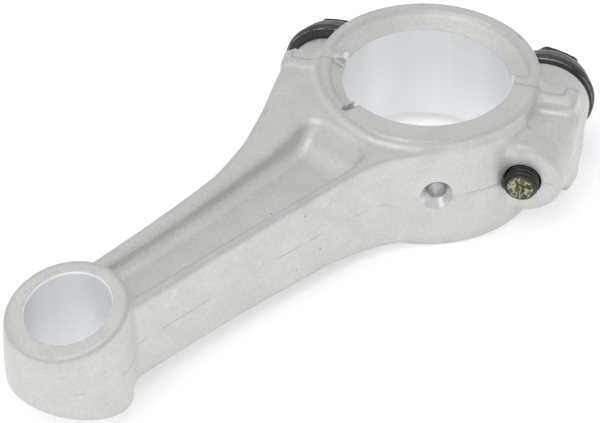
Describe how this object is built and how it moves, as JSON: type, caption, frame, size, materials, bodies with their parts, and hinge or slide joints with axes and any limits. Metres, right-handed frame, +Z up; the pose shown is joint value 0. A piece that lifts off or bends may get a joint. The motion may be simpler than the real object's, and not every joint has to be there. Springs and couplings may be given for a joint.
{
  "type": "connecting rod",
  "caption": "Cast connecting rod with an H-section beam, a keystone small end and an obliquely split big end whose cap is held by hex flange bolts.",
  "frame": {"origin": "middle of the underside of the bounding box, on the plane the rod lies on", "axes": "+X along the rod from the wrist pin bore to the crankpin bore, +Z up along both bores, +Y towards the rod's long bolt lug"},
  "size_m": [0.1642, 0.078, 0.03],
  "materials": {
    "cast_aluminium": "fine die-cast skin, machined bores and faces",
    "black_oxide_steel": "black oxide"
  },
  "bodies": {
    "rod": {"rod_body": "cast_aluminium"},
    "cap": {"bearing_cap": "cast_aluminium"},
    "bolt_left": {"cap_bolt_left": "black_oxide_steel"},
    "bolt_right": {"cap_bolt_right": "black_oxide_steel"}
  },
  "joints": [
    {"name": "cap_lift", "type": "slide", "parent": "rod", "child": "cap", "axis": [0.848, 0.5299, 0], "range_m": [0, 0.035]},
    {"name": "bolt_left_draw", "type": "slide", "parent": "cap", "child": "bolt_left", "axis": [0.848, 0.5299, 0], "range_m": [0, 0.036]},
    {"name": "bolt_right_draw", "type": "slide", "parent": "cap", "child": "bolt_right", "axis": [0.848, 0.5299, 0], "range_m": [0, 0.036]}
  ]
}
